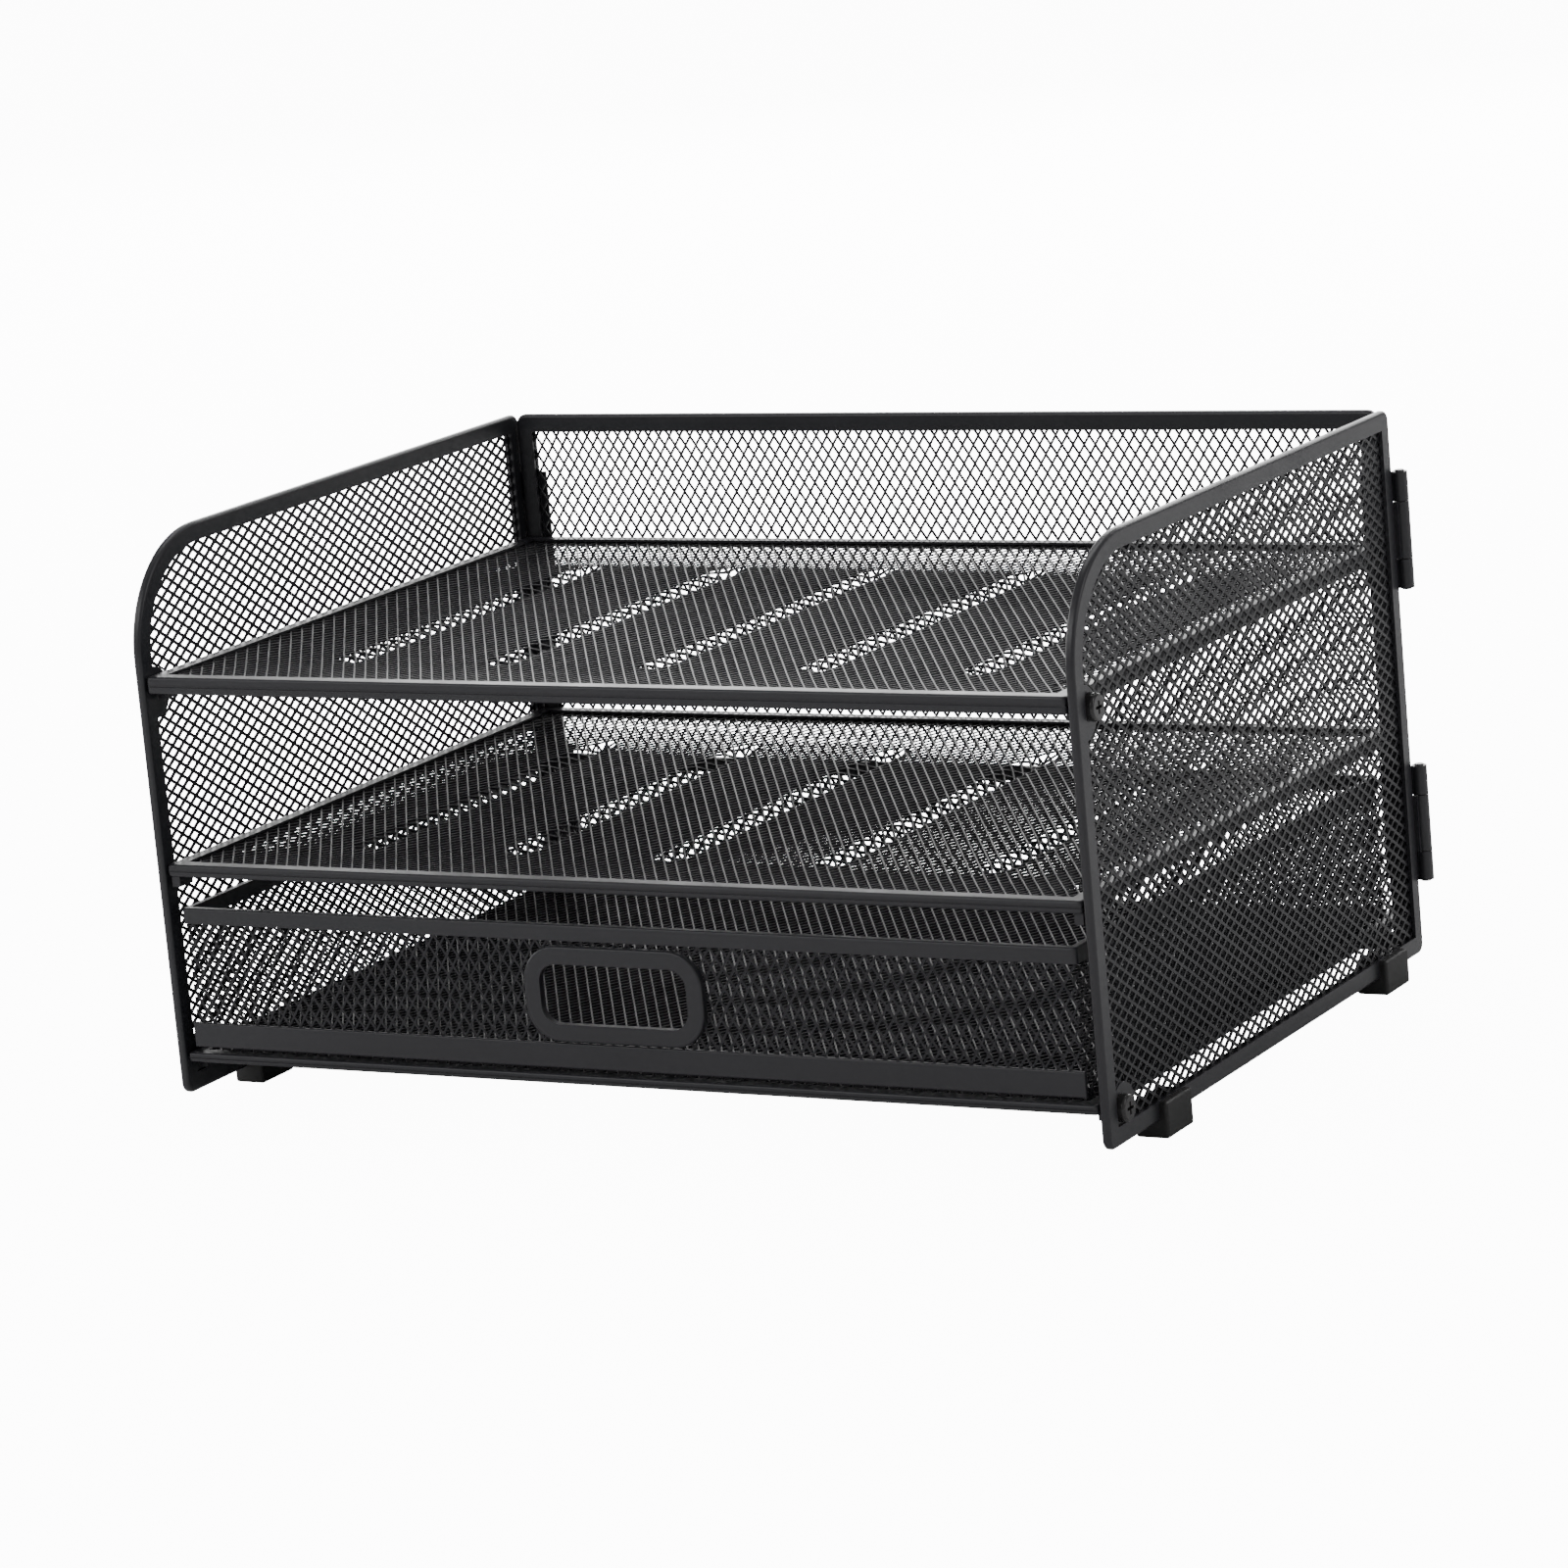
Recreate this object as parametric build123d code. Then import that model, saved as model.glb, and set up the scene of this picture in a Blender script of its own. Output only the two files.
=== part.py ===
"""Desk letter tray of black powder-coated steel and expanded mesh.

Two open shelves and a pull-out drawer stand between two mesh side panels and a mesh back panel.
The side panels are hinged to the back panel on their outer rear corners and screwed to the upper
shelf and to the base tray at the front.

Units are millimetres. X runs left to right, Y front to back, Z up. The origin is on the desk, below
the centre of the whole object.
"""

from build123d import *
import os

# --- driving dimensions ------------------------------------------------------------------------
width = 330.0            # over the outer faces of the side panels
panel_depth = 236.0      # side panel, front edge to rear edge
panel_height = 179.0     # side and back panels, bottom edge to top edge
foot_lift = 5.5          # the feet hold the panels this far above the desk

edge_width = 6.0         # folded edge channel round each panel, seen face on
edge_thickness = 3.0
edge_wall = 1.1          # steel on each side of the mesh inside the channel
edge_rounding = 1.1
front_top_radius = 38.0  # large corner of the side panels
corner_radius = 3.5

mesh_thickness = 0.8
mesh_bite = 4.0          # how far a mesh panel reaches into its channel

body_gap = 0.3           # side of the back panel to the side panels
back_setback = 0.4       # the back panel's rear face stands this far behind the side panels

rim_width = 5.0          # shelf rims, seen from above
rim_side_gap = 0.6       # shelf rim to side panel
rim_front_setback = 0.5
rim_groove_depth = 0.35
rim_rear_height = 2.5    # the shelves' rear bars are flatter than their front and side bars
shelf_slope_run = 30.0   # gently sloped mesh margin between rim and shelf floor
upper_rim_top = 141.7
upper_rim_height = 5.5
middle_rim_top = 81.0
middle_rim_height = 4.0
base_rim_top = 19.3
base_rim_height = 3.0
shelf_drop = 2.4         # rim top to shelf floor
base_drop = 0.8          # the base tray's floor is level with its flange
tab_width = 3.0          # tabs under the middle shelf's front corners
tab_depth = 7.0
tab_height = 3.5

rib_count = 5
rib_pitch = 56.0
rib_length = 156.0
rib_width = 9.0
rib_depth = 1.8          # grooves pressed down into the shelf floors
base_rib_height = 2.6    # ribs pressed up in the base tray; the drawer runs on these

drawer_side_gap = 4.0
drawer_bottom = 21.4
drawer_top = 66.8
drawer_front_setback = 1.0
drawer_depth = 224.0
drawer_rim_height = 5.0
drawer_rim_thickness = 2.4
lower_band_height = 8.0
lower_band_thickness = 1.2

handle_width = 63.0
handle_height = 30.2
handle_ring = 5.6
handle_radius = 11.5
handle_thickness = 1.6
handle_centre_z = 45.2

hinge_height = 38.0
hinge_bottoms = (29.2, 126.0)   # lower and upper hinge
knuckle_radius = 2.5
knuckle_end = 9.5               # height of the top and bottom knuckles
knuckle_gap = 0.3
pin_radius = 1.0
pin_running_gap = 0.05
pin_head = 0.5
axis_out = 1.4                  # hinge axis outside the side panel's outer face
axis_back = 2.5                 # hinge axis behind the side panel's rear edge
leaf_thickness = 0.8
tang_wrap = 1.0                 # the side panel's tang laps this far round its rear edge
back_leaf_width = 8.5

screw_inset = 10.4              # screw axis behind the side panel's front edge
upper_screw_z = 136.7
lower_screw_z = 16.3
screw_head_radius = 4.3
screw_head_height = 3.0
screw_dome = 1.0
screw_radius = 2.0
screw_reach = 4.5               # shank beyond the gusset plate
screw_clearance = 0.5
recess_length = 4.0
recess_width = 0.9
recess_depth = 1.2
gusset_thickness = 1.2
upper_gusset_radius = 8.4
upper_gusset_centre = (6.6, 129.9)    # behind the front edge, above the bottom edge
lower_gusset_radius = 7.2
lower_gusset_centre = (12.3, 10.8)
nut_block_length = 8.0          # front to back
nut_block_height = 6.4
nut_block_depth = 3.0           # into the shelf from its rim's side face

foot_length = 18.0
foot_inner = 5.5                # foot width inside the side panel
foot_outer = 2.5                # foot width outside the side panel
foot_height = 11.3
foot_fronts = (33.5, 199.5)     # front face of each foot behind the panel's front edge
foot_rounding = 1.0

# --- derived places ----------------------------------------------------------------------------
handle_reach = handle_thickness - drawer_front_setback
barrel_reach = axis_back + knuckle_radius
overall_depth = handle_reach + panel_depth + barrel_reach
y_front = -overall_depth / 2 + handle_reach
y_rear = y_front + panel_depth
x_outer = width / 2
x_inner = x_outer - edge_thickness
x_middle = x_outer - edge_thickness / 2
z_bottom = foot_lift
z_top = z_bottom + panel_height
axis_x = x_outer + axis_out
axis_y = y_rear + axis_back
y_back_face = y_rear + back_setback
y_back_inner = y_back_face - edge_thickness

rim_x = x_inner - rim_side_gap
rim_front = y_front + rim_front_setback
rim_rear = y_back_inner
rim_depth = rim_rear - rim_front
rim_centre_y = (rim_front + rim_rear) / 2

drawer_x = x_inner - drawer_side_gap
drawer_front = y_front + drawer_front_setback
drawer_rear = drawer_front + drawer_depth
drawer_centre_y = (drawer_front + drawer_rear) / 2


def box_between(x0, x1, y0, y1, z0, z1):
    """A block between two corners."""
    centre = ((x0 + x1) / 2, (y0 + y1) / 2, (z0 + z1) / 2)
    return Pos(*centre) * Box(abs(x1 - x0), abs(y1 - y0), abs(z1 - z0))


def sharp_outline(length, height, inset):
    """A rectangle from the lower left corner, pulled in by inset on every side."""
    size = (length - 2 * inset, height - 2 * inset)
    return Pos(length / 2, height / 2) * Rectangle(*size)


def corner_near(outline, u, v):
    """The corner of a flat outline nearest to (u, v)."""
    return outline.vertices().sort_by_distance(Vector(u, v, 0))[0]


def rounded_outline(length, height, inset, radii):
    """The same rectangle with radii for its four corners: near low, far low, far high, near high."""
    outline = sharp_outline(length, height, inset)
    places = ((0, 0), (length, 0), (length, height), (0, height))
    for (u, v), radius in zip(places, radii):
        if radius > inset:
            outline = fillet(corner_near(outline, u, v), radius - inset)
    return outline


def edge_channel(length, height, radii):
    """Folded steel channel round a panel, lying in XY with its thickness centred on Z."""
    outer = rounded_outline(length, height, 0, radii)
    window = rounded_outline(length, height, edge_width, radii)
    slot = rounded_outline(length, height, edge_width - mesh_bite, radii)
    block = extrude(outer, edge_thickness / 2, both=True)
    top_edges = block.faces().sort_by(Axis.Z)[-1].edges()
    bottom_edges = block.faces().sort_by(Axis.Z)[0].edges()
    block = fillet(top_edges + bottom_edges, edge_rounding)
    block -= extrude(window, edge_thickness, both=True)
    block -= extrude(slot, mesh_thickness / 2, both=True)
    return block


def panel_mesh(length, height, radii):
    """Mesh sheet that fills the channel's slot."""
    outline = rounded_outline(length, height, edge_width - mesh_bite, radii)
    return extrude(outline, mesh_thickness / 2, both=True)


side_radii = (corner_radius, corner_radius, corner_radius, front_top_radius)
back_radii = (corner_radius, corner_radius, corner_radius, corner_radius)
side_place = Location((0, y_front, z_bottom), (90, 90, 0))
back_width = 2 * (x_inner - body_gap)
back_place = Location((-back_width / 2, (y_back_face + y_back_inner) / 2, z_bottom), (90, 0, 0))


def on_side(shape, side):
    """Stand a flat piece on a side panel's middle plane; side is +1 for right, -1 for left."""
    return Pos(side * x_middle, 0, 0) * side_place * shape


def upper_gusset_outline():
    """Half-round tab on the front edge channel, behind the upper screw."""
    start = edge_width - mesh_bite
    tab = Pos(*upper_gusset_centre) * Circle(upper_gusset_radius)
    return tab - Pos(start - 10, panel_height / 2) * Rectangle(20, panel_height)


def lower_gusset_outline():
    """Arched tab standing on the bottom edge channel, behind the lower screw."""
    start = edge_width - mesh_bite
    u, spring = lower_gusset_centre
    post = Pos(u, (start + spring) / 2) * Rectangle(2 * lower_gusset_radius, spring - start)
    return post + Pos(u, spring) * Circle(lower_gusset_radius)


def gusset(outline, screw_z, side):
    """Flat plate in the plane of the mesh, with a clearance hole for its screw."""
    plate = extrude(outline, mesh_thickness / 2, both=True)
    swell = outline - sharp_outline(panel_depth, edge_width, 0)
    swell -= Pos(edge_width / 2, panel_height / 2) * Rectangle(edge_width, panel_height)
    plate += extrude(swell, gusset_thickness / 2, both=True)
    hole = Pos(screw_inset, screw_z - z_bottom) * Cylinder(screw_radius + 0.1, edge_thickness)
    return on_side(plate - hole, side)


def side_frame(side):
    return on_side(edge_channel(panel_depth, panel_height, side_radii), side)


def side_mesh(side):
    sheet = panel_mesh(panel_depth, panel_height, side_radii)
    for outline in (upper_gusset_outline(), lower_gusset_outline()):
        sheet -= extrude(outline, mesh_thickness, both=True)
    return on_side(sheet, side)


def gusset_screw(screw_z, side):
    """Pan-head screw with a cross recess, pushed through a gusset from outside."""
    seat = side * (x_middle + gusset_thickness / 2)
    turn = Location((seat, y_front + screw_inset, screw_z), (0, 90 * side, 0))
    head = extrude(Circle(screw_head_radius), screw_head_height)
    head = fillet(head.edges().sort_by(Axis.Z)[-1], screw_dome)
    for angle in (0, 90):
        slot = Box(recess_length, recess_width, 2 * recess_depth)
        head -= Pos(0, 0, screw_head_height) * Rot(0, 0, angle) * slot
    shank = extrude(Circle(screw_radius), -(gusset_thickness + screw_reach))
    return turn * (head + shank)


def side_screws(side):
    return Compound([gusset_screw(z, side) for z in (lower_screw_z, upper_screw_z)])


def foot(side, front):
    """Moulded block pressed on a side panel's bottom channel."""
    y0 = y_front + front
    x0 = side * (x_inner - foot_inner)
    x1 = side * (x_outer + foot_outer)
    block = box_between(x0, x1, y0, y0 + foot_length, 0, foot_height)
    block = fillet(block.edges(), foot_rounding)
    return block - side_frame(side) - side_mesh(side)


# --- trays: upper shelf, middle shelf and base tray ----------------------------------------------
def rim_section_ring(inset_outer, inset_inner, z0, z1):
    """Rectangular ring between two insets from the rim's outer outline."""
    outer = Rectangle(2 * (rim_x - inset_outer), rim_depth - 2 * inset_outer)
    inner = Rectangle(2 * (rim_x - inset_inner), rim_depth - 2 * inset_inner)
    return Pos(0, rim_centre_y, z0) * extrude(outer - inner, z1 - z0)


def tray_rim(top, height):
    """Rolled steel rim with a groove along its outer face, a slot for the mesh and a flat rear bar."""
    rounding = min(0.9, height / 4)
    outer = Pos(0, rim_centre_y, top - height) * Rectangle(2 * rim_x, rim_depth)
    outer = fillet(outer.vertices(), 1.5)
    bar = extrude(outer, height)
    upper_edges = bar.faces().sort_by(Axis.Z)[-1].edges()
    lower_edges = bar.faces().sort_by(Axis.Z)[0].edges()
    bar = fillet(upper_edges + lower_edges, rounding)
    window = Rectangle(2 * (rim_x - rim_width), rim_depth - 2 * rim_width)
    bar -= Pos(0, rim_centre_y, top - height - 1) * extrude(window, height + 2)
    groove_top = top - 0.42 * height
    groove_height = 0.16 * height
    bar -= rim_section_ring(-1, rim_groove_depth, groove_top - groove_height, groove_top)
    slot_top = top - mesh_thickness
    bar -= rim_section_ring(rim_width / 2, rim_width + 1, slot_top - mesh_thickness, slot_top)
    inner_x = rim_x - rim_width
    y0 = rim_rear - rim_width
    return bar - box_between(-inner_x, inner_x, y0, rim_rear + 1, top - height - 1, top - rim_rear_height)


def rib_shape(height, shrink):
    """One stiffening rib with round ends and sloped sides; a negative height points it down."""
    outline = SlotOverall(rib_length - 2 * shrink, rib_width - 2 * shrink, rotation=90)
    block = extrude(outline, abs(height))
    block = chamfer(block.faces().sort_by(Axis.Z)[-1].edges(), abs(height) * 0.6)
    return block if height > 0 else Rot(180, 0, 0) * block


def tray_mesh(top, drop, height):
    """Mesh tray: a flange in the rim's slot, sloped margins, a flat floor and raised ribs."""
    flange_top = top - mesh_thickness
    floor_top = top - drop
    edge_x = rim_x - rim_width
    edge_y = rim_depth / 2 - rim_width
    upper = Rectangle(2 * edge_x, 2 * edge_y)
    floor = Rectangle(2 * (edge_x - shelf_slope_run), 2 * (edge_y - shelf_slope_run))
    fall = flange_top - floor_top
    shell = extrude(upper, -mesh_thickness)
    if fall > 0:
        shell += loft([Pos(0, 0, -mesh_thickness) * upper, Pos(0, 0, -mesh_thickness - fall) * floor])
        shell -= loft([upper, Pos(0, 0, -fall) * floor])
    flange = Rectangle(2 * edge_x + rim_width, 2 * edge_y + rim_width) - upper
    shell += extrude(flange, -mesh_thickness)
    for index in range(rib_count):
        x = (index - (rib_count - 1) / 2) * rib_pitch
        outside_z = -fall if height > 0 else -fall - mesh_thickness
        inside_z = -fall - mesh_thickness if height > 0 else -fall
        shell += Pos(x, 0, outside_z) * rib_shape(height, 0)
        shell -= Pos(x, 0, inside_z) * rib_shape(height, mesh_thickness)
    return Pos(0, rim_centre_y, flange_top) * shell


def nut_pocket(side, screw_z, rim_top):
    """Space for a nut block inside a rim's front corner."""
    y = y_front + screw_inset
    x = side * (rim_x - nut_block_depth)
    z0 = screw_z - nut_block_height / 2
    z1 = min(screw_z + nut_block_height / 2, rim_top)
    return box_between(x, side * rim_x, y - nut_block_length / 2, y + nut_block_length / 2, z0, z1)


def nut_block(side, screw_z, rim_top):
    """Block welded into that pocket; its hole clears the screw's shank."""
    bore = Cylinder(screw_radius + screw_clearance, 4 * nut_block_depth)
    hole = Pos(side * rim_x, y_front + screw_inset, screw_z) * Rot(0, 90, 0) * bore
    return nut_pocket(side, screw_z, rim_top) - hole


def shelf_tab(side):
    """Small tab under a front corner of the middle shelf."""
    z1 = middle_rim_top - middle_rim_height
    x = side * (rim_x - 0.5)
    y = rim_front + 1.5
    return box_between(x - side * tab_width, x, y, y + tab_depth, z1 - tab_height, z1)


# --- drawer --------------------------------------------------------------------------------------
def drawer_rim():
    """Flat steel band round the drawer's top edge, folded over the mesh walls."""
    outer = Rectangle(2 * drawer_x, drawer_depth)
    outer = fillet(outer.vertices(), 1.5)
    inner = Rectangle(2 * (drawer_x - drawer_rim_thickness), drawer_depth - 2 * drawer_rim_thickness)
    z0 = drawer_top - drawer_rim_height
    band = extrude(outer, drawer_rim_height)
    band = fillet(band.faces().sort_by(Axis.Z)[-1].edges(), 0.7)
    band -= extrude(inner, drawer_rim_height)
    slot_outer = Rectangle(2 * (drawer_x - 0.8), drawer_depth - 1.6)
    slot_inner = Rectangle(2 * (drawer_x - 1.6), drawer_depth - 3.2)
    band -= extrude(slot_outer - slot_inner, drawer_rim_height - 1.0)
    return Pos(0, drawer_centre_y, z0) * band


wall_outer_x = drawer_x - 0.8
wall_front = drawer_front + 0.8
wall_rear = drawer_rear - 0.8
wall_top = drawer_top - 1.0


def drawer_floor():
    z0 = drawer_bottom
    return box_between(-wall_outer_x, wall_outer_x, wall_front, wall_rear, z0, z0 + mesh_thickness)


def drawer_side_wall(side):
    x0 = side * (wall_outer_x - mesh_thickness)
    z0 = drawer_bottom + mesh_thickness
    return box_between(x0, side * wall_outer_x, wall_front, wall_rear, z0, wall_top)


def drawer_cross_wall(y0):
    x = wall_outer_x - mesh_thickness
    z0 = drawer_bottom + mesh_thickness
    return box_between(-x, x, y0, y0 + mesh_thickness, z0, wall_top)


def ring_outline(grow):
    """The handle's outer outline, made larger or smaller by grow."""
    size = (handle_width + 2 * grow, handle_height + 2 * grow)
    return RectangleRounded(*size, handle_radius + grow)


def drawer_front_wall():
    """Front mesh with an opening behind the handle ring."""
    opening = extrude(ring_outline(-handle_ring), 5, both=True)
    return drawer_cross_wall(wall_front) - Location((0, wall_front, handle_centre_z), (90, 0, 0)) * opening


def drawer_handle():
    """Flat ring fixed over the opening in the drawer's front mesh."""
    ring = extrude(ring_outline(0), handle_thickness + 0.8)
    rounded = ring.faces().sort_by(Axis.Z)[-1].edges()
    ring = fillet(rounded, 0.7)
    ring -= extrude(ring_outline(-handle_ring), 4 * handle_thickness, both=True)
    return Location((0, wall_front, handle_centre_z), (90, 0, 0)) * ring


def drawer_lower_band():
    """Flat strip over the lower edge of the drawer's front mesh."""
    z1 = drawer_bottom + lower_band_height
    y0 = wall_front - lower_band_thickness
    strip = box_between(-drawer_x, drawer_x, y0, wall_front, drawer_bottom, z1)
    return fillet(strip.faces().sort_by(Axis.Y)[0].edges(), 0.5)


# --- hinges --------------------------------------------------------------------------------------
def barrel(side, z0, z1, bore):
    ring = Circle(knuckle_radius) - Circle(bore)
    return Pos(side * axis_x, axis_y, z0) * extrude(ring, z1 - z0)


def side_knuckle(side, z0):
    """Middle knuckle on a short tang, welded to the rear edge of the side panel."""
    low = z0 + knuckle_end + knuckle_gap
    high = z0 + hinge_height - knuckle_end - knuckle_gap
    y0 = y_rear - tang_wrap
    y1 = y_rear + leaf_thickness
    tang = box_between(side * (x_inner + 0.2), side * axis_x, y0, y1, low, high)
    tang += barrel(side, low, high, pin_radius)
    bore = Pos(side * axis_x, axis_y, low) * extrude(Circle(pin_radius + pin_running_gap), high - low)
    return tang - bore - side_frame(side)


def back_leaf(side, z0):
    """Leaf welded to the back panel's rear face, with the top and bottom knuckles."""
    z3 = z0 + hinge_height
    plate_end = side * (x_inner - body_gap)
    y1 = y_back_face + leaf_thickness
    leaf = box_between(side * (x_inner - back_leaf_width), plate_end, y_back_face, y1, z0, z3)
    for low, high in ((z0, z0 + knuckle_end), (z3 - knuckle_end, z3)):
        leaf += box_between(plate_end, side * axis_x, y_back_face, y1, low, high)
        leaf += barrel(side, low, high, pin_radius)
        leaf -= Pos(side * axis_x, axis_y, low) * extrude(Circle(pin_radius), high - low)
    return leaf


def hinge_pin(side, z0):
    pin = extrude(Circle(pin_radius), hinge_height)
    for z in (-pin_head, hinge_height):
        pin += Pos(0, 0, z) * extrude(Circle(pin_radius + 0.5), pin_head)
    return Pos(side * axis_x, axis_y, z0) * pin


# --- the parts -------------------------------------------------------------------------------------
parts = {
    "back_frame": back_place * edge_channel(back_width, panel_height, back_radii),
    "back_mesh": back_place * panel_mesh(back_width, panel_height, back_radii),
    "upper_shelf_rim": tray_rim(upper_rim_top, upper_rim_height),
    "upper_shelf_mesh": tray_mesh(upper_rim_top, shelf_drop, -rib_depth),
    "middle_shelf_rim": tray_rim(middle_rim_top, middle_rim_height),
    "middle_shelf_mesh": tray_mesh(middle_rim_top, shelf_drop, -rib_depth),
    "middle_shelf_tabs": Compound([shelf_tab(-1), shelf_tab(1)]),
    "base_tray_rim": tray_rim(base_rim_top, base_rim_height),
    "base_tray_mesh": tray_mesh(base_rim_top, base_drop, base_rib_height),
    "drawer_rim": drawer_rim(),
    "drawer_lower_band": drawer_lower_band(),
    "drawer_front_mesh": drawer_front_wall(),
    "drawer_back_mesh": drawer_cross_wall(wall_rear - mesh_thickness),
    "drawer_left_mesh": drawer_side_wall(-1),
    "drawer_right_mesh": drawer_side_wall(1),
    "drawer_floor_mesh": drawer_floor(),
    "drawer_handle": drawer_handle(),
}

for name, side in (("left", -1), ("right", 1)):
    parts[name + "_side_frame"] = side_frame(side)
    parts[name + "_side_mesh"] = side_mesh(side)
    parts[name + "_upper_gusset"] = gusset(upper_gusset_outline(), upper_screw_z, side)
    parts[name + "_lower_gusset"] = gusset(lower_gusset_outline(), lower_screw_z, side)
    parts[name + "_front_screws"] = side_screws(side)
    parts[name + "_front_foot"] = foot(side, foot_fronts[0])
    parts[name + "_rear_foot"] = foot(side, foot_fronts[1])
    parts[name + "_hinge_knuckles"] = Compound([side_knuckle(side, z) for z in hinge_bottoms])
    parts[name + "_hinge_back_leaves"] = Compound([back_leaf(side, z) for z in hinge_bottoms])
    parts[name + "_hinge_pins"] = Compound([hinge_pin(side, z) for z in hinge_bottoms])
    parts[name + "_upper_nut_block"] = nut_block(side, upper_screw_z, upper_rim_top)
    parts[name + "_lower_nut_block"] = nut_block(side, lower_screw_z, base_rim_top)
    for shelf, screw_z, top in (
        ("upper_shelf", upper_screw_z, upper_rim_top),
        ("base_tray", lower_screw_z, base_rim_top),
    ):
        pocket = nut_pocket(side, screw_z, top)
        parts[shelf + "_rim"] = parts[shelf + "_rim"] - pocket
        parts[shelf + "_mesh"] = parts[shelf + "_mesh"] - pocket

os.makedirs("parts", exist_ok=True)
for name, shape in parts.items():
    export_step(shape, "parts/" + name + ".step")
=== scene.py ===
"""Letter tray in black powder-coated steel: expanded mesh sheets, coated channels, screws and feet."""

import math

import bpy
from mathutils import Matrix, Vector


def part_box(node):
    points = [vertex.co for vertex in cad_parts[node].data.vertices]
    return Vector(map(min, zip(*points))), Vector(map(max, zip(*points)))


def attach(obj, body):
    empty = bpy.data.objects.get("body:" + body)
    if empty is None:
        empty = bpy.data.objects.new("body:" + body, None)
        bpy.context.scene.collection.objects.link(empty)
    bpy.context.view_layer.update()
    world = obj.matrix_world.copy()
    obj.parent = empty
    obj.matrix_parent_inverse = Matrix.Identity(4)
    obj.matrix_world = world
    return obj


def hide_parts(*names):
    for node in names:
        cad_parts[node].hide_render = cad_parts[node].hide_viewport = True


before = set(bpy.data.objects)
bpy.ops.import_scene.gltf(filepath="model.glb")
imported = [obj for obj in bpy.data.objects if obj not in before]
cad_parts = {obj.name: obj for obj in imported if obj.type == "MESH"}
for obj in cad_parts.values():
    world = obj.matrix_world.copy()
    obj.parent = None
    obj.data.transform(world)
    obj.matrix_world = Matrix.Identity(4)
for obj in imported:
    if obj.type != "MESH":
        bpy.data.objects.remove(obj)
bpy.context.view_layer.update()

MM = 0.001

# expanded mesh: diamond openings, measured from knuckle to knuckle
LONG_WAY = 6.4 * MM
SHORT_WAY = 4.1 * MM
STRAND_WIDTH = 0.9 * MM
STRAND_RISE = 0.06 * MM       # each strand leans: one edge this far up, the other as far down
STEEL = 0.66 * MM
BACK_STRAND = 0.75 * MM       # the back panel's strands lean the other way and further
BACK_STEEL = 0.45 * MM
BACK_RISE = -0.16 * MM
FLOOR_STRAND = 0.5 * MM       # shelf floors and drawer floor: narrower strands
FLOOR_STEEL = 0.7 * MM
FLOOR_RISE = 0.08 * MM
HEAVY_STEEL = 0.95 * MM       # drawer floor and base tray
WALL_STRAND = 0.62 * MM       # drawer walls
WALL_STEEL = 0.5 * MM
THINNED = 0.5                 # share of the steel left where pressing has drawn a shelf's margin out
REAR_THINNING = 62.0 * MM     # how far in from the rear rim it fades away
RIGHT_THINNING = 8.0 * MM
SOLID_FRONT = 16.0 * MM       # full steel this far in from the front rim

# edges, and how far the mesh runs in behind them
CHANNEL = 6.0 * MM            # edge channel seen face on
CHANNEL_BITE = 4.0 * MM       # mesh hidden inside it
FRONT_TOP_RADIUS = 38.0 * MM
CORNER_CUTS = 8               # straight snips that follow the round corner
FLANGE = 2.5 * MM             # edge of a shelf's mesh held flat in its rim
SHEET = 0.8 * MM              # stated thickness of a mesh sheet
PLATE_LAP = 1.6 * MM          # strands run this far in behind a gusset plate's edge
RING_LAP = 2.6 * MM           # and this far in behind the handle ring's outer edge
WELD_GAP = 0.02 * MM          # strand ends closer than this are one

# shelf floors and the base tray's floor
FLOOR_DROP = 1.6 * MM         # flange down to the flat of the floor
SLOPE_RUN = 34.0 * MM         # the floor falls away softly over this margin
RIB_COUNT = 5
RIB_PITCH = 56.0 * MM
RIB_LENGTH = 156.0 * MM
RIB_WIDTH = 12.0 * MM
RIB_SINK = 3.1 * MM           # the shelves' ribs are pressed down as grooves
TRAY_RIB_RISE = 2.6 * MM      # the base tray's ribs stand up, and the drawer runs on them


# --- small helpers -----------------------------------------------------------------------------
def pick(piece):
    """Leave only this piece selected and active."""
    bpy.ops.object.select_all(action="DESELECT")
    piece.select_set(True)
    bpy.context.view_layer.objects.active = piece


def apply_modifiers(piece):
    """Make every modifier part of the mesh, in order."""
    pick(piece)
    for modifier in list(piece.modifiers):
        bpy.ops.object.modifier_apply(modifier=modifier.name)


def settle(piece):
    """Put the piece's place and turn into its mesh."""
    pick(piece)
    bpy.ops.object.transform_apply(location=True, rotation=True, scale=True)


def axes_matrix(x_axis, y_axis, z_axis, origin):
    """Turn and move a piece so that its own X, Y and Z run along three given directions."""
    turn = Matrix((x_axis, y_axis, z_axis)).transposed()
    return Matrix.Translation(origin) @ turn.to_4x4()


def size_and_middle(node):
    """Size of a node's box and the point in its middle."""
    low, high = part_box(node)
    return high - low, (high + low) / 2


RIGHT = Vector((1, 0, 0))
BACK = Vector((0, 1, 0))
UP = Vector((0, 0, 1))


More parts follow.
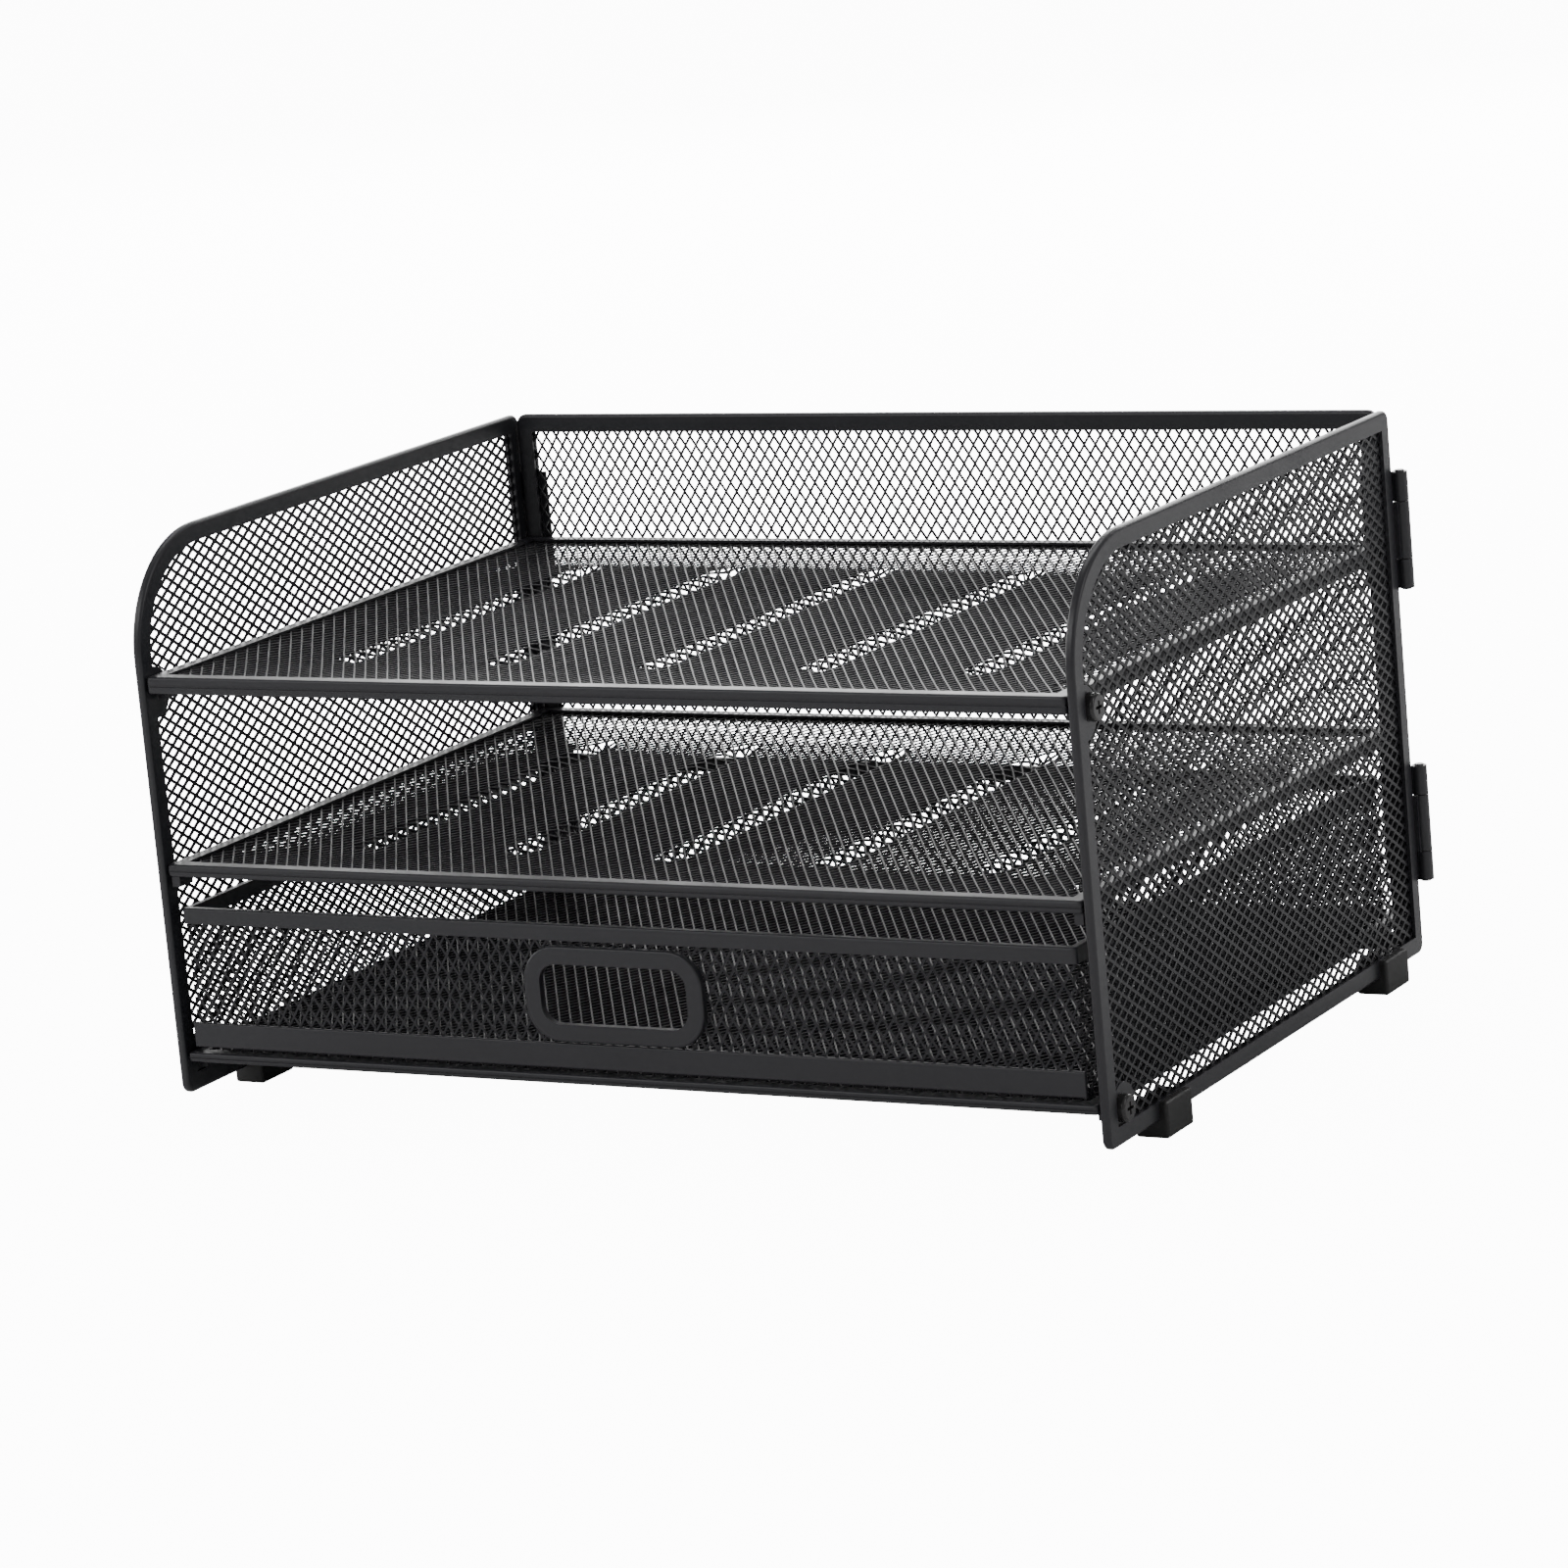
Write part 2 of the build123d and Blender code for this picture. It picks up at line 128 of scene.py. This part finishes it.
# --- expanded mesh -----------------------------------------------------------------------------
def mesh_cell(name, rise, strand):
    """One diamond opening with half of every strand round it; the long way runs along X."""
    bpy.ops.object.select_all(action="DESELECT")
    bpy.ops.mesh.primitive_circle_add(vertices=4, radius=1.0, fill_type="NGON")
    cell = bpy.context.object
    cell.name = name
    cell.scale = (LONG_WAY / 2, SHORT_WAY / 2, 1.0)
    settle(cell)
    bpy.ops.object.mode_set(mode="EDIT")
    bpy.ops.mesh.select_all(action="SELECT")
    bpy.ops.mesh.inset(thickness=strand / 2, depth=0.0)
    bpy.ops.mesh.delete(type="FACE")
    bpy.ops.mesh.select_all(action="DESELECT")
    bpy.ops.object.mode_set(mode="OBJECT")
    outline_tip = SHORT_WAY / 2 * 0.98
    for vertex in cell.data.vertices:
        on_axis = abs(vertex.co.x) < 1e-6
        if on_axis and abs(vertex.co.y) < outline_tip:
            vertex.co.z = -rise if vertex.co.y > 0 else rise
    return cell


def repeat(piece, count, step):
    """Copies of the piece in a row, each one step further on."""
    array = piece.modifiers.new("rows", "ARRAY")
    array.count = count
    array.use_relative_offset = False
    array.use_constant_offset = True
    array.constant_offset_displace = step


def snip(piece, point, outward):
    """Cut the piece off square beyond a point."""
    pick(piece)
    bpy.ops.object.mode_set(mode="EDIT")
    bpy.ops.mesh.select_all(action="SELECT")
    bpy.ops.mesh.bisect(plane_co=point, plane_no=outward, clear_outer=True, clear_inner=False)
    bpy.ops.object.mode_set(mode="OBJECT")


def expanded_sheet(name, length, width, rise=STRAND_RISE, strand=STRAND_WIDTH):
    """Flat sheet of expanded mesh about the origin, its long way along X, trimmed to size."""
    columns = math.ceil(length / LONG_WAY) + 2
    rows = math.ceil(width / SHORT_WAY) + 2
    sheet = mesh_cell(name, rise, strand)
    repeat(sheet, 2, (LONG_WAY / 2, SHORT_WAY / 2, 0))
    repeat(sheet, columns, (LONG_WAY, 0, 0))
    repeat(sheet, rows, (0, SHORT_WAY, 0))
    apply_modifiers(sheet)
    sheet.location = (-(columns - 0.5) * LONG_WAY / 2, -(rows - 0.5) * SHORT_WAY / 2, 0)
    settle(sheet)
    bpy.ops.object.mode_set(mode="EDIT")
    bpy.ops.mesh.select_all(action="SELECT")
    bpy.ops.mesh.remove_doubles(threshold=WELD_GAP)
    bpy.ops.object.mode_set(mode="OBJECT")
    snip(sheet, (length / 2, 0, 0), (1, 0, 0))
    snip(sheet, (-length / 2, 0, 0), (-1, 0, 0))
    snip(sheet, (0, width / 2, 0), (0, 1, 0))
    snip(sheet, (0, -width / 2, 0), (0, -1, 0))
    return sheet


def give_thickness(sheet, steel=STEEL, share_group=""):
    """Steel on every strand, of one thickness or of the share that a vertex group gives."""
    solid = sheet.modifiers.new("steel", "SOLIDIFY")
    solid.thickness = steel
    solid.offset = 0.0
    solid.vertex_group = share_group
    apply_modifiers(sheet)


def stand(sheet, x_axis, y_axis, z_axis, origin):
    """Put a flat sheet up in its place."""
    sheet.data.transform(axes_matrix(x_axis, y_axis, z_axis, origin))


def cut_away(sheet, node, lap):
    """Snip out the strands behind a flat node, all but a lap inside its edges."""
    size, middle = size_and_middle(node)
    across = min(range(3), key=lambda axis: size[axis])
    doomed = []
    for face in sheet.data.polygons:
        away = face.center - middle
        if all(abs(away[axis]) < size[axis] / 2 - lap for axis in range(3) if axis != across):
            doomed.append(face.index)
    pick(sheet)
    bpy.ops.object.mode_set(mode="EDIT")
    bpy.ops.mesh.select_mode(type="FACE")
    bpy.ops.mesh.select_all(action="DESELECT")
    bpy.ops.object.mode_set(mode="OBJECT")
    for index in doomed:
        sheet.data.polygons[index].select = True
    bpy.ops.object.mode_set(mode="EDIT")
    bpy.ops.mesh.delete(type="FACE")
    bpy.ops.mesh.select_mode(type="VERT")
    bpy.ops.object.mode_set(mode="OBJECT")


def side_mesh(side):
    """Mesh of a folding side panel, rounded with its channel at the front top corner."""
    size, middle = size_and_middle(side + "_side_mesh")
    length, height = size.y, size.z
    sheet = expanded_sheet(side + "_side_expanded_mesh", length, height)
    radius = FRONT_TOP_RADIUS - (CHANNEL - CHANNEL_BITE)
    centre = Vector((-length / 2 + radius, height / 2 - radius, 0))
    for cut in range(CORNER_CUTS):
        angle = math.radians(90 + 90 * (cut + 0.5) / CORNER_CUTS)
        outward = Vector((math.cos(angle), math.sin(angle), 0))
        snip(sheet, centre + outward * radius, outward)
    stand(sheet, BACK, UP, RIGHT, middle)
    for plate in ("_upper_gusset", "_lower_gusset"):
        cut_away(sheet, side + plate, PLATE_LAP)
    give_thickness(sheet)
    return sheet


def back_mesh():
    """Mesh of the back panel, with its long way upright."""
    size, middle = size_and_middle("back_mesh")
    sheet = expanded_sheet("back_expanded_mesh", size.z, size.x, BACK_RISE, BACK_STRAND)
    stand(sheet, UP, RIGHT, BACK, middle)
    give_thickness(sheet, BACK_STEEL)
    return sheet


def settle_in(inside):
    """Share of the floor's drop reached this far inside the rim: steep at first, then level."""
    t = min(max(inside / SLOPE_RUN, 0.0), 1.0)
    return t * (2 - t)


def steel_share(from_right, from_rear, from_front):
    """Share of the steel's thickness left this far inside the right, rear and front rims."""
    rear = min(max(from_rear / REAR_THINNING, 0.0), 1.0)
    right = 1.0 if from_right > RIGHT_THINNING or from_front < SOLID_FRONT else 0.0
    return THINNED + (1 - THINNED) * min(rear, right)


def rib_rise(x, y):
    """Share of a stiffening rib's full height at a point, measured from the floor's middle."""
    column = min(max(round(x / RIB_PITCH), -(RIB_COUNT // 2)), RIB_COUNT // 2)
    half_run = RIB_LENGTH / 2 - RIB_WIDTH / 2
    along = max(abs(y) - half_run, 0.0)
    away = math.hypot(x - column * RIB_PITCH, along) / (RIB_WIDTH / 2)
    return 0.5 + 0.5 * math.cos(math.pi * away) if away < 1 else 0.0


def shelf_floor(node, drop, rise):
    """Mesh floor, pressed down inside its rim by the drop, with ribs raised or sunk by the rise.

    The base tray's floor has no drop: it lies at the bottom of its rim, in even, heavier steel.
    """
    size, middle = size_and_middle(node)
    name = node.replace("_mesh", "_expanded_mesh")
    sheet = expanded_sheet(name, size.y, size.x, FLOOR_RISE, FLOOR_STRAND)
    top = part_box(node)[1].z
    half_x = size.x / 2 - FLANGE
    half_y = size.y / 2 - FLANGE
    if drop == 0:
        top -= size.z - SHEET
    stand(sheet, BACK, -RIGHT, UP, Vector((middle.x, middle.y, top - SHEET / 2)))
    share = sheet.vertex_groups.new(name="share of steel")
    for vertex in sheet.data.vertices:
        x = vertex.co.x - middle.x
        y = vertex.co.y - middle.y
        sunk = settle_in(half_x - abs(x)) * settle_in(half_y - abs(y))
        vertex.co.z += rise * rib_rise(x, y) - drop * sunk
        share.add([vertex.index], steel_share(half_x - x, half_y - y, half_y + y), "REPLACE")
    if drop:
        give_thickness(sheet, FLOOR_STEEL, share.name)
    else:
        give_thickness(sheet, HEAVY_STEEL)
    return sheet


def drawer_wall(node, crosswise):
    """Wall of the drawer; the front and back have the long way upright, the sides have it level."""
    size, middle = size_and_middle(node)
    name = node.replace("_mesh", "_expanded_mesh")
    if crosswise:
        sheet = expanded_sheet(name, size.z, size.x, strand=WALL_STRAND)
        stand(sheet, UP, RIGHT, BACK, middle)
    else:
        sheet = expanded_sheet(name, size.y, size.z, strand=WALL_STRAND)
        stand(sheet, BACK, UP, RIGHT, middle)
    return sheet


def drawer_floor():
    """Flat floor of the drawer, its long way running to the rear."""
    size, middle = size_and_middle("drawer_floor_mesh")
    sheet = expanded_sheet("drawer_floor_expanded_mesh", size.y, size.x, FLOOR_RISE, FLOOR_STRAND)
    stand(sheet, BACK, -RIGHT, UP, middle)
    give_thickness(sheet, HEAVY_STEEL)
    return sheet


# --- finishes ----------------------------------------------------------------------------------
def coat_texture():
    """Node group: the fine orange peel of baked powder coat and its slight patches of gloss."""
    group = bpy.data.node_groups.new("powder coat grain", "ShaderNodeTree")
    sockets = group.interface
    sockets.new_socket("Coordinates", in_out="INPUT", socket_type="NodeSocketVector")
    sockets.new_socket("Peel Scale", in_out="INPUT", socket_type="NodeSocketFloat")
    sockets.new_socket("Tone", in_out="INPUT", socket_type="NodeSocketColor")
    sockets.new_socket("Worn Tone", in_out="INPUT", socket_type="NodeSocketColor")
    sockets.new_socket("Gloss", in_out="INPUT", socket_type="NodeSocketFloat")
    sockets.new_socket("Color", in_out="OUTPUT", socket_type="NodeSocketColor")
    sockets.new_socket("Roughness", in_out="OUTPUT", socket_type="NodeSocketFloat")
    sockets.new_socket("Peel", in_out="OUTPUT", socket_type="NodeSocketFloat")
    nodes, links = group.nodes, group.links
    given = nodes.new("NodeGroupInput")
    result = nodes.new("NodeGroupOutput")
    peel = nodes.new("ShaderNodeTexNoise")
    peel.inputs["Detail"].default_value = 3.0
    patches = nodes.new("ShaderNodeTexNoise")
    patches.inputs["Scale"].default_value = 45.0
    patches.inputs["Detail"].default_value = 4.0
    spread = nodes.new("ShaderNodeMapRange")
    spread.inputs["From Min"].default_value = 0.3
    spread.inputs["From Max"].default_value = 0.7
    spread.inputs["To Min"].default_value = -0.05
    spread.inputs["To Max"].default_value = 0.07
    add = nodes.new("ShaderNodeMath")
    add.operation = "ADD"
    tint = nodes.new("ShaderNodeMix")
    tint.data_type = "RGBA"
    links.new(given.outputs["Coordinates"], peel.inputs["Vector"])
    links.new(given.outputs["Peel Scale"], peel.inputs["Scale"])
    links.new(given.outputs["Coordinates"], patches.inputs["Vector"])
    links.new(patches.outputs["Fac"], spread.inputs["Value"])
    links.new(spread.outputs["Result"], add.inputs[0])
    links.new(given.outputs["Gloss"], add.inputs[1])
    links.new(patches.outputs["Fac"], tint.inputs["Factor"])
    links.new(given.outputs["Tone"], tint.inputs["A"])
    links.new(given.outputs["Worn Tone"], tint.inputs["B"])
    links.new(tint.outputs["Result"], result.inputs["Color"])
    links.new(add.outputs["Value"], result.inputs["Roughness"])
    links.new(peel.outputs["Fac"], result.inputs["Peel"])
    return group


GRAIN = coat_texture()


def coated(name, tone, worn_tone, gloss, peel_scale, peel_height):
    """Material with the powder coat grain; constants sit on the shader's own sockets."""
    material = bpy.data.materials.new(name)
    material.use_nodes = True
    nodes, links = material.node_tree.nodes, material.node_tree.links
    shader = nodes["Principled BSDF"]
    shader.inputs["IOR"].default_value = 1.5
    place = nodes.new("ShaderNodeTexCoord")
    grain = nodes.new("ShaderNodeGroup")
    grain.node_tree = GRAIN
    grain.inputs["Peel Scale"].default_value = peel_scale
    grain.inputs["Tone"].default_value = (*tone, 1)
    grain.inputs["Worn Tone"].default_value = (*worn_tone, 1)
    grain.inputs["Gloss"].default_value = gloss
    bump = nodes.new("ShaderNodeBump")
    bump.inputs["Strength"].default_value = 0.35
    bump.inputs["Distance"].default_value = peel_height
    links.new(place.outputs["Object"], grain.inputs["Coordinates"])
    links.new(grain.outputs["Color"], shader.inputs["Base Color"])
    links.new(grain.outputs["Roughness"], shader.inputs["Roughness"])
    links.new(grain.outputs["Peel"], bump.inputs["Height"])
    links.new(bump.outputs["Normal"], shader.inputs["Normal"])
    return material


def dress(piece, material):
    """Give the piece one finish."""
    piece.data.materials.clear()
    piece.data.materials.append(material)


steel_coat = coated(
    "black powder coat", (0.021, 0.021, 0.025), (0.030, 0.030, 0.035), 0.34, 1400, 0.05 * MM)
mesh_coat = coated(
    "black mesh coat", (0.014, 0.014, 0.017), (0.021, 0.021, 0.025), 0.40, 1400, 0.03 * MM)
foot_coat = coated(
    "moulded black foot", (0.015, 0.015, 0.015), (0.022, 0.022, 0.022), 0.55, 2600, 0.04 * MM)
screw_coat = coated(
    "black oxide screw", (0.02, 0.02, 0.021), (0.035, 0.034, 0.034), 0.20, 2000, 0.01 * MM)
pin_coat = coated(
    "hinge pin steel", (0.10, 0.10, 0.105), (0.16, 0.16, 0.165), 0.35, 1800, 0.01 * MM)


# --- pieces ------------------------------------------------------------------------------------
def place_sheet(sheet, body, node):
    """Coat a mesh sheet and put it on its body in a node's stead."""
    dress(sheet, mesh_coat)
    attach(sheet, body)
    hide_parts(node)


for side in ("left", "right"):
    place_sheet(side_mesh(side), side + "_side", side + "_side_mesh")

place_sheet(back_mesh(), "rack", "back_mesh")

for node, drop, rise in (
    ("upper_shelf_mesh", FLOOR_DROP, -RIB_SINK),
    ("middle_shelf_mesh", FLOOR_DROP, -RIB_SINK),
    ("base_tray_mesh", 0.0, TRAY_RIB_RISE),
):
    place_sheet(shelf_floor(node, drop, rise), "rack", node)

for node, crosswise in (
    ("drawer_front_mesh", True),
    ("drawer_back_mesh", True),
    ("drawer_left_mesh", False),
    ("drawer_right_mesh", False),
):
    wall = drawer_wall(node, crosswise)
    if node == "drawer_front_mesh":
        cut_away(wall, "drawer_handle", RING_LAP)
    give_thickness(wall, WALL_STEEL)
    place_sheet(wall, "drawer", node)

place_sheet(drawer_floor(), "drawer", "drawer_floor_mesh")

for name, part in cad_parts.items():
    if name.endswith("_foot"):
        dress(part, foot_coat)
    elif name.endswith("_screws"):
        dress(part, screw_coat)
    elif name.endswith("_pins"):
        dress(part, pin_coat)
    else:
        dress(part, steel_coat)


# --- floor, light and camera -------------------------------------------------------------------
def pale_floor():
    """Plain white floor; seen directly it glows a little, as a lit studio sweep does."""
    bpy.ops.object.select_all(action="DESELECT")
    bpy.ops.mesh.primitive_plane_add(size=40.0, location=(0, 0, 0))
    floor = bpy.context.object
    floor.name = "floor"
    material = bpy.data.materials.new("pale floor")
    material.use_nodes = True
    nodes, links = material.node_tree.nodes, material.node_tree.links
    shader = nodes["Principled BSDF"]
    shader.inputs["Base Color"].default_value = (0.85, 0.85, 0.85, 1)
    shader.inputs["Roughness"].default_value = 0.9
    shader.inputs["Specular IOR Level"].default_value = 0.0
    shader.inputs["Emission Strength"].default_value = 12.0
    path = nodes.new("ShaderNodeLightPath")
    links.new(path.outputs["Is Camera Ray"], shader.inputs["Emission Color"])
    floor.data.materials.append(material)


TRAY_MIDDLE = Vector((0, 0, 0.09))


def softbox(name, place, size, watts):
    """Rectangular studio light turned towards the middle of the tray."""
    light = bpy.data.lights.new(name, "AREA")
    light.shape = "RECTANGLE"
    light.size, light.size_y = size
    light.energy = watts
    lamp = bpy.data.objects.new(name, light)
    bpy.context.scene.collection.objects.link(lamp)
    lamp.location = place
    lamp.rotation_euler = (TRAY_MIDDLE - Vector(place)).to_track_quat("-Z", "Y").to_euler()


def studio_light():
    """Soft light from all round, strongest from behind."""
    world = bpy.data.worlds.new("studio")
    bpy.context.scene.world = world
    world.use_nodes = True
    background = world.node_tree.nodes["Background"]
    background.inputs["Color"].default_value = (1, 1, 1, 1)
    background.inputs["Strength"].default_value = 0.3
    softbox("back", (-0.6, 2.6, 1.0), (3.0, 1.2), 60)
    softbox("left", (-2.4, -0.2, 0.6), (1.2, 1.0), 25)
    softbox("top", (-0.4, 0.9, 2.4), (2.0, 1.0), 16)
    softbox("right", (2.3, 0.2, 1.3), (0.5, 1.6), 9)
    softbox("front", (-0.9, -2.2, 1.5), (2.4, 1.0), 19)


FOCAL_LENGTH = 135.1
SENSOR_WIDTH = 36.0
FARTHEST_SEEN = 100.0
CAMERA_PLACE = (0.9160, -1.5998, 0.4806)
CAMERA_SWING = 29.87          # degrees, turned left from straight ahead
CAMERA_TILT = -12.14
CAMERA_ROLL = 5.16


def camera():
    """Long lens in front of the tray and to its right, looking a little down."""
    lens = bpy.data.cameras.new("camera")
    lens.lens = FOCAL_LENGTH
    lens.sensor_width = SENSOR_WIDTH
    lens.clip_end = FARTHEST_SEEN
    viewer = bpy.data.objects.new("camera", lens)
    bpy.context.scene.collection.objects.link(viewer)
    swing = Matrix.Rotation(math.radians(CAMERA_SWING), 4, "Z")
    tilt = Matrix.Rotation(math.radians(CAMERA_TILT), 4, "X")
    roll = Matrix.Rotation(math.radians(CAMERA_ROLL), 4, "Y")
    upright = Matrix.Rotation(math.radians(90), 4, "X")
    viewer.matrix_world = Matrix.Translation(CAMERA_PLACE) @ swing @ tilt @ roll @ upright
    bpy.context.scene.camera = viewer


pale_floor()
studio_light()
camera()
